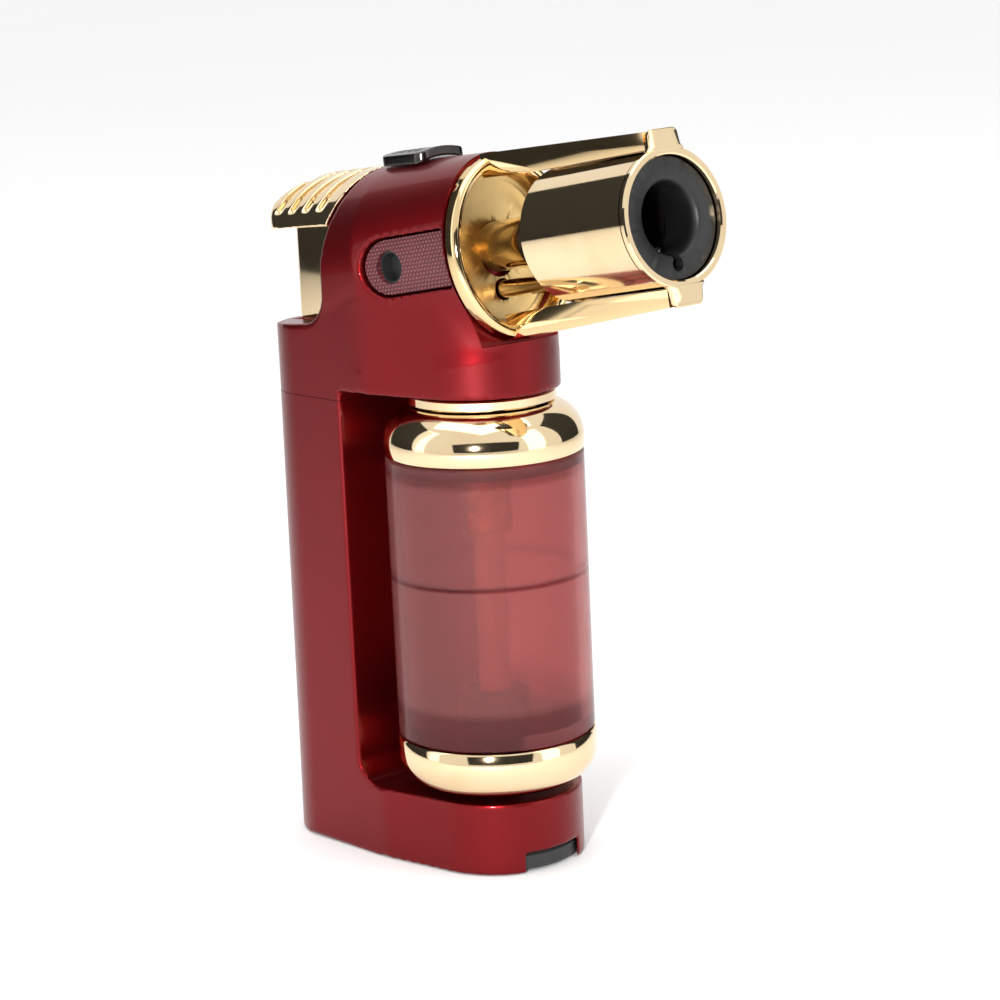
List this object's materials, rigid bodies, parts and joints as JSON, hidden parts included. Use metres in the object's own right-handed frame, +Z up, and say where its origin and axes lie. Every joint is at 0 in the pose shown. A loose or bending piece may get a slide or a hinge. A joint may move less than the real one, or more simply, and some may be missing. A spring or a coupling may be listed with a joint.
{
  "type": "butane torch",
  "caption": "Hand-held butane torch: red handle frame, clear fuel tank, tilted gold burner with guard, thumb trigger and lock slider.",
  "frame": {"origin": "centre of the torch's footprint box, on the surface that it stands on", "axes": "+X the way the nozzle points, +Z up, Y across; both sides of y = 0 are alike"},
  "size_m": [0.0792, 0.0292, 0.1087],
  "materials": {
    "red_paint": "candy red paint",
    "gold_plate": "mirror-polished pale gold plating",
    "black_plastic": "black moulded plastic",
    "tank_plastic": "frosted smoky red clear plastic",
    "maroon_plastic": "dark maroon plastic with raised dots",
    "gunmetal": "dark gunmetal plating",
    "brass": "turned brass",
    "steel": "bright steel",
    "rubber": "black rubber"
  },
  "bodies": {
    "body": {"handle_frame": "red_paint", "base_cover": "black_plastic", "base_screw_front": "steel", "base_screw_rear": "steel", "tank_bottom_cap": "gold_plate", "tank_shell": "tank_plastic", "tank_top_cap": "gold_plate", "tank_collar": "gold_plate", "tank_seal_lower": "rubber", "tank_seal_upper": "rubber", "fill_valve_body": "brass", "centre_tube": "tank_plastic", "outlet_valve_body": "brass", "lever_pin": "steel", "lever_bracket": "steel", "gas_pipe": "brass", "head_housing": "red_paint", "side_panel_left": "maroon_plastic", "side_panel_right": "maroon_plastic", "side_screw_left": "steel", "side_screw_right": "steel", "piezo_body": "black_plastic", "trigger_spring": "steel", "piezo_holder": "black_plastic", "ignition_wire": "rubber", "burner_neck": "gunmetal", "jet_holder": "brass", "jet": "brass", "flame_tube": "steel", "flame_screen": "steel", "barrel_spacer": "gunmetal", "burner_barrel": "gold_plate", "front_plate": "gold_plate", "nozzle_insert": "black_plastic", "electrode_post": "brass", "electrode": "steel", "nozzle_guard": "gold_plate"},
    "trigger": {"trigger_cap": "gold_plate", "trigger_stem": "gold_plate", "piezo_plunger": "black_plastic"},
    "valve_lever": {"valve_lever": "steel"},
    "outlet_stem": {"outlet_valve_stem": "steel"},
    "lock_slider": {"lock_slider": "gunmetal", "lock_catch": "steel"},
    "adjuster": {"adjuster_wheel": "black_plastic"},
    "fill_stem": {"fill_valve_stem": "steel"}
  },
  "joints": [
    {"name": "trigger_slide", "type": "slide", "parent": "body", "child": "trigger", "axis": [0, 0, -1], "range_m": [0, 0.0045], "stiffness_N_per_m": 700, "springref_m": -0.004, "deforming": ["trigger_spring"]},
    {"name": "lever_rock", "type": "hinge", "parent": "body", "child": "valve_lever", "pos_m": [-0.00698, 0, 0.0772], "axis": [0, -1, 0], "range_deg": [0, 22.5]},
    {"name": "outlet_stem_lift", "type": "slide", "parent": "body", "child": "outlet_stem", "axis": [0, 0, 1], "range_m": [0, 0.0015]},
    {"name": "lock_slide", "type": "slide", "parent": "body", "child": "lock_slider", "axis": [0.9925, 0, 0.1219], "range_m": [0, 0.003]},
    {"name": "flame_adjust", "type": "hinge", "parent": "body", "child": "adjuster", "pos_m": [-0.00358, 0, 0.0015], "axis": [0, 0, 1], "range_deg": [-135, 135]},
    {"name": "fill_stem_press", "type": "slide", "parent": "body", "child": "fill_stem", "axis": [0, 0, 1], "range_m": [0, 0.001], "stiffness_N_per_m": 500, "springref_m": -0.001}
  ],
  "couplings": [
    {"joint": "lever_rock", "follows": "trigger_slide", "rad_per_m": 84},
    {"joint": "outlet_stem_lift", "follows": "trigger_slide", "ratio": 0.31111}
  ]
}
